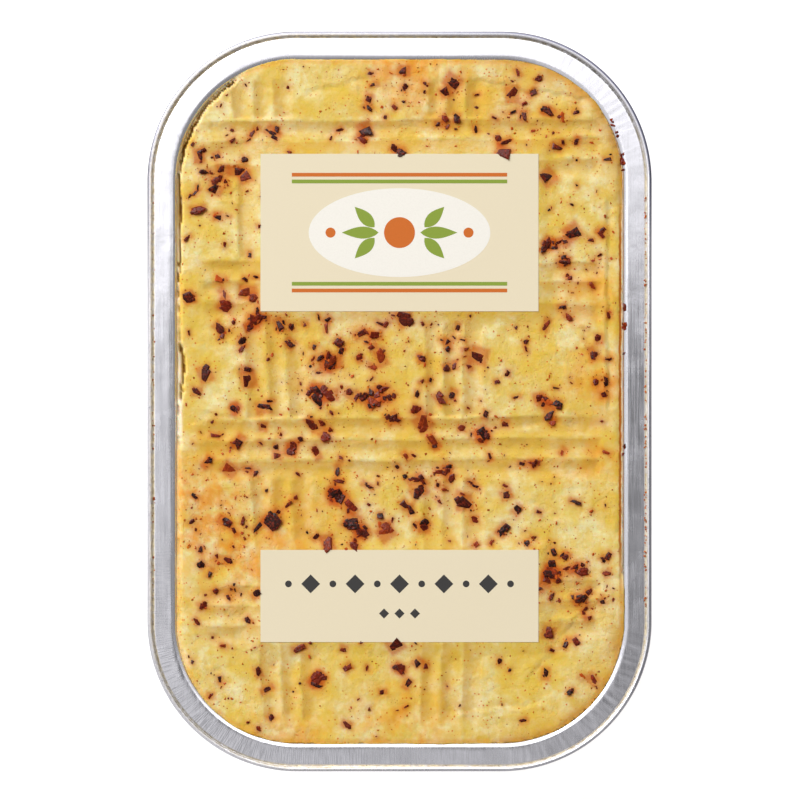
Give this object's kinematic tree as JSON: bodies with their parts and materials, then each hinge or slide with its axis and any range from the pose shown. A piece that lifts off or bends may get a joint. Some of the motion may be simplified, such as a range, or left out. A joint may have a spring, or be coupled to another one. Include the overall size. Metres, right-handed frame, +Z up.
{
  "type": "cottage pie in foil tray",
  "caption": "Mash-topped pie, ruled with a comb and strewn with chilli flakes, in a round-cornered foil tray with a rolled rim; plain cards lie on the mash.",
  "frame": {"origin": "middle of the tray's footprint, on the surface that it stands on", "axes": "+Z up; +Y along the tray's length, towards the larger card; +X across the tray, to the right as the cards face the reader"},
  "size_m": [0.15, 0.22, 0.042],
  "materials": {
    "foil": "satin",
    "mash": "soft, slightly moist mashed potato",
    "paper": "matte cream"
  },
  "bodies": {
    "root": {"foil_tray": "foil", "pie": "mash", "label_upper": "paper", "label_lower": "paper"}
  },
  "joints": []
}
